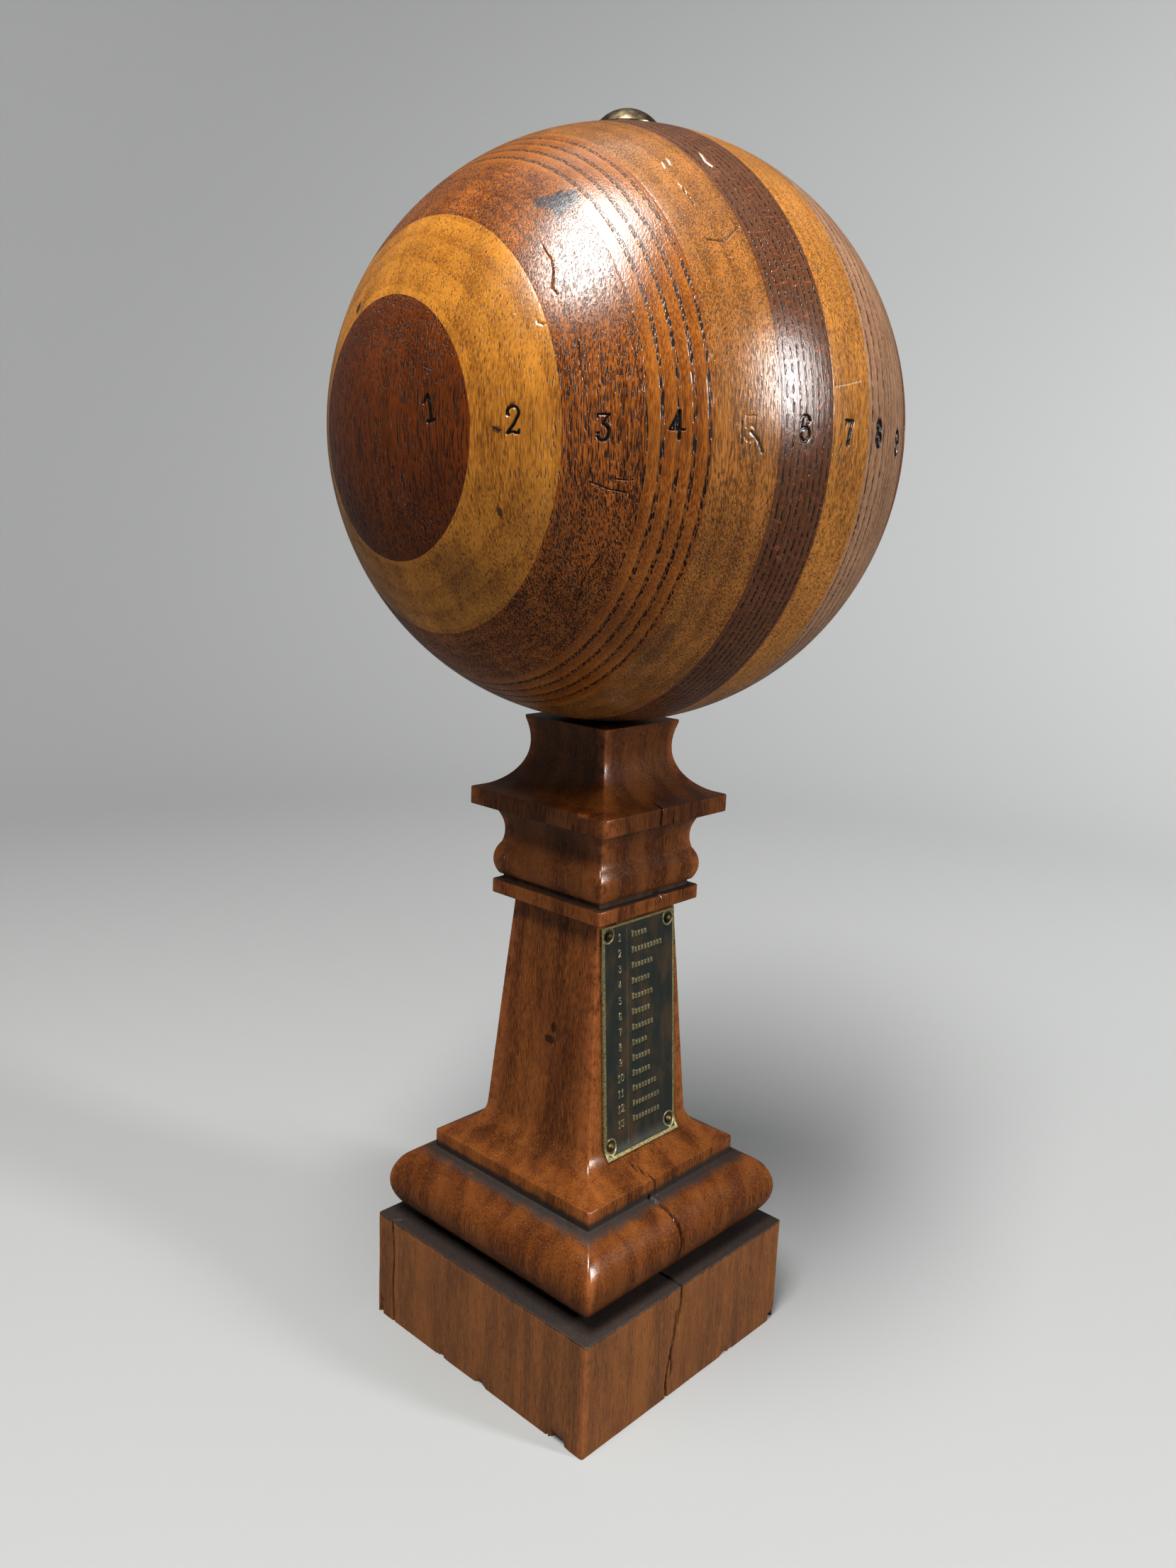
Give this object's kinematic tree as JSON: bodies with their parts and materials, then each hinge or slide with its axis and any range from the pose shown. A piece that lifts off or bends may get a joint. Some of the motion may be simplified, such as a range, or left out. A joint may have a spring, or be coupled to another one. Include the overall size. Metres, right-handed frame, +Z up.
{
  "type": "wood specimen ball",
  "caption": "Ball of glued, numbered boards of different timbers, turning on a spindle above a square moulded pedestal with a small brass list plate.",
  "frame": {"origin": "middle of the pedestal's underside", "axes": "+Z up the spindle, -Y out of the face that carries the name plate"},
  "size_m": [0.198, 0.198, 0.4531],
  "materials": {
    "walnut": "varnished and waxed, worn",
    "chestnut": "varnished and waxed, worn",
    "robinia": "varnished and waxed, worn",
    "ash": "varnished and waxed, worn",
    "lime": "varnished and waxed, worn",
    "oak": "varnished and waxed, worn",
    "hornbeam": "varnished and waxed, worn",
    "elm": "varnished and waxed, worn",
    "fir": "varnished and waxed, worn",
    "larch": "varnished and waxed, worn",
    "cherry": "varnished and waxed, worn",
    "poplar": "varnished and waxed, worn",
    "pear": "varnished and waxed, worn",
    "pedestal_wood": "red-brown varnish, worn at the arrises",
    "steel": "plain",
    "brass": "aged, polished by handling",
    "plate_brass": "dark ground, rubbed bright on the raised rim"
  },
  "bodies": {
    "stand": {"pedestal": "pedestal_wood", "spindle": "steel", "foot_washer": "steel", "foot_nut": "steel", "cap_nut": "brass", "cap_washer": "brass", "name_plate": "plate_brass", "plate_pins": "brass"},
    "ball": {"slice_01_walnut": "walnut", "slice_02_chestnut": "chestnut", "slice_03_robinia": "robinia", "slice_04_ash": "ash", "slice_05_lime": "lime", "slice_06_oak": "oak", "slice_07_hornbeam": "hornbeam", "slice_08_elm": "elm", "slice_09_fir": "fir", "slice_10_larch": "larch", "slice_11_cherry": "cherry", "slice_12_poplar": "poplar", "slice_13_pear": "pear"}
  },
  "joints": [
    {"name": "ball_turn", "type": "hinge", "parent": "stand", "child": "ball", "pos_m": [0, 0, 0.3471], "axis": [0, 0, 1], "continuous": true}
  ]
}
